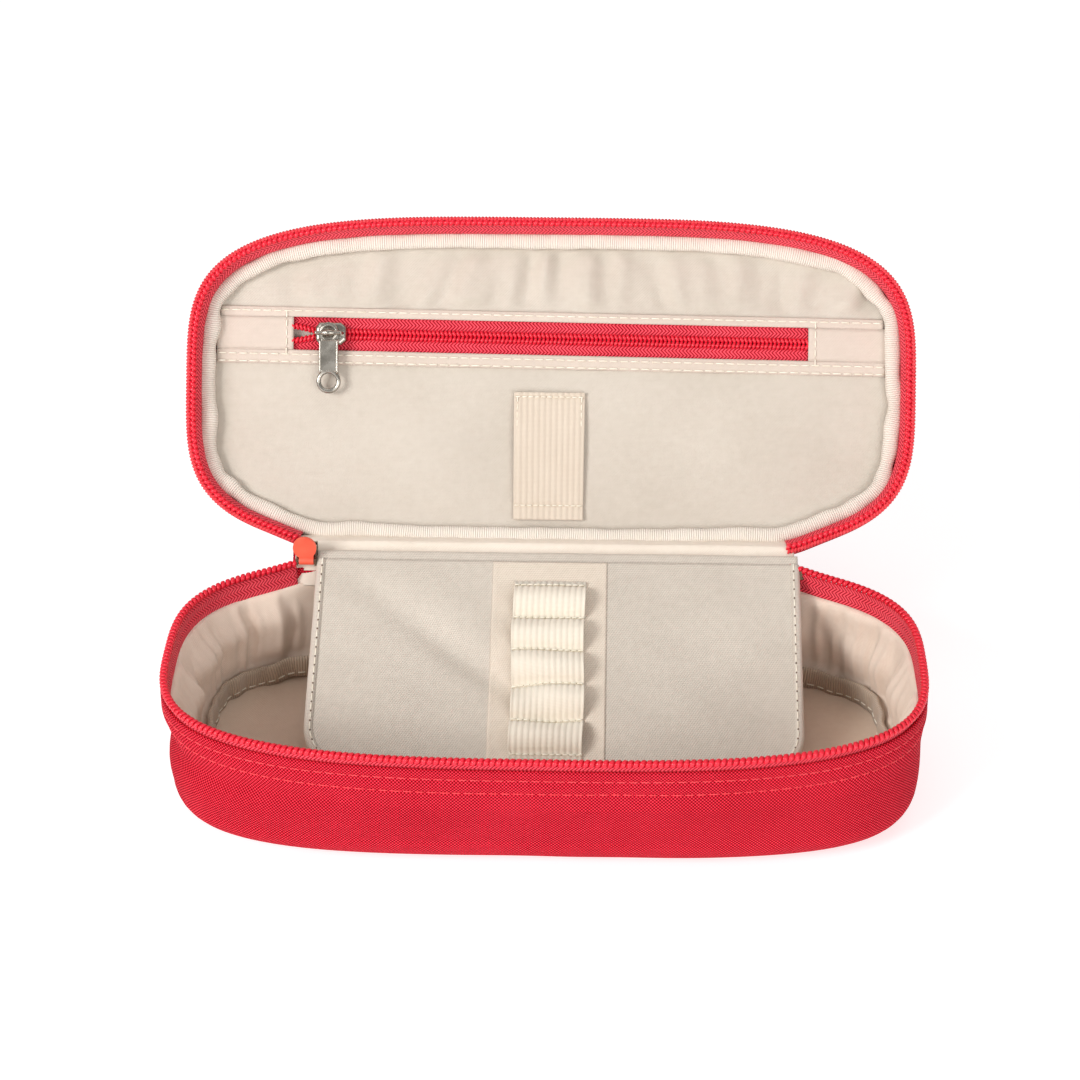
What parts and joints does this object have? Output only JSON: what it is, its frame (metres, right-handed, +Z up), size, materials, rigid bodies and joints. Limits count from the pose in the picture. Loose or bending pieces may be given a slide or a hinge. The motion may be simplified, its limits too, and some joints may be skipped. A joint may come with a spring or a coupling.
{
  "type": "first aid case",
  "caption": "Soft zip-round fabric case with a tray, a hinged lid with a zip pocket, and a divider flap with elastic loops, standing open.",
  "frame": {"origin": "centre of the tray's flat underside", "axes": "+Z up, +Y towards the hinge, +X to the right as seen from the front"},
  "size_m": [0.23, 0.1768, 0.1363],
  "materials": {
    "shell_canvas": "coarse plain-weave polyester, matt",
    "zip_tape": "herringbone tape, matt",
    "zip_coil": "nylon coil, satin",
    "lining": "fine lining cloth with a soft sheen",
    "binding": "ribbed binding tape, matt",
    "elastic": "ribbed woven elastic, matt",
    "foam": "closed-cell foam, matt",
    "stiffener": "matt sheet",
    "thread": "sewing thread",
    "nickel": "nickel plated, satin",
    "pull_rubber": "moulded rubber, matt"
  },
  "bodies": {
    "tray": {"base_bottom_panel": "shell_canvas", "base_side_band": "shell_canvas", "base_bottom_foam": "foam", "base_side_foam": "foam", "base_floor_lining": "lining", "base_side_lining": "lining", "base_seam_binding": "binding", "base_zip_tape": "zip_tape", "base_zip_coil": "zip_coil", "base_hinge_canvas": "shell_canvas", "base_hinge_lining": "binding", "main_slider_body": "nickel", "main_zip_end_stop": "nickel"},
    "lid": {"lid_top_panel": "shell_canvas", "lid_side_band": "shell_canvas", "lid_top_foam": "foam", "lid_side_foam": "foam", "lid_top_lining": "lining", "lid_side_lining": "lining", "lid_rim_binding": "binding", "lid_zip_tape": "zip_tape", "lid_zip_coil": "zip_coil", "lid_hinge_canvas": "shell_canvas", "lid_hinge_lining": "binding", "pocket_upper_panel": "lining", "pocket_lower_panel": "lining", "pocket_end_patches": "lining", "pocket_upper_tape": "zip_tape", "pocket_lower_tape": "zip_tape", "pocket_upper_coil": "zip_coil", "pocket_lower_coil": "zip_coil", "pocket_zip_stops": "nickel", "lid_elastic_strap": "elastic", "lid_strap_bartacks": "thread"},
    "flap": {"flap_front_cloth": "lining", "flap_stiffener": "stiffener", "flap_back_cloth": "lining", "flap_reinforcement": "lining", "flap_elastic_loops": "elastic", "flap_loop_bartacks": "thread"},
    "pocket_slider": {"pocket_slider_body": "nickel"},
    "pocket_tab": {"pocket_pull_tab": "nickel"},
    "main_pull": {"main_pull_tag": "pull_rubber"}
  },
  "joints": [
    {"name": "lid_hinge", "type": "hinge", "parent": "tray", "child": "lid", "pos_m": [0, 0.0545, 0.043], "axis": [-1, 0, 0], "range_deg": [-122.6, 57.4]},
    {"name": "flap_hinge", "type": "hinge", "parent": "tray", "child": "flap", "pos_m": [0.0035, 0.0506, 0.0422], "axis": [-1, 0, 0], "range_deg": [0, 145]},
    {"name": "pocket_zip_slide", "type": "slide", "parent": "lid", "child": "pocket_slider", "axis": [1, 0, 0], "range_m": [-0.006, 0.147]},
    {"name": "pocket_tab_swing", "type": "hinge", "parent": "pocket_slider", "child": "pocket_tab", "pos_m": [-0.071, 0.09317, 0.10139], "axis": [-1, 0, 0], "range_deg": [0, 165]},
    {"name": "main_pull_swing", "type": "hinge", "parent": "tray", "child": "main_pull", "pos_m": [-0.0761, 0.0493, 0.0424], "axis": [1, 0, 0], "range_deg": [0, 150]}
  ]
}
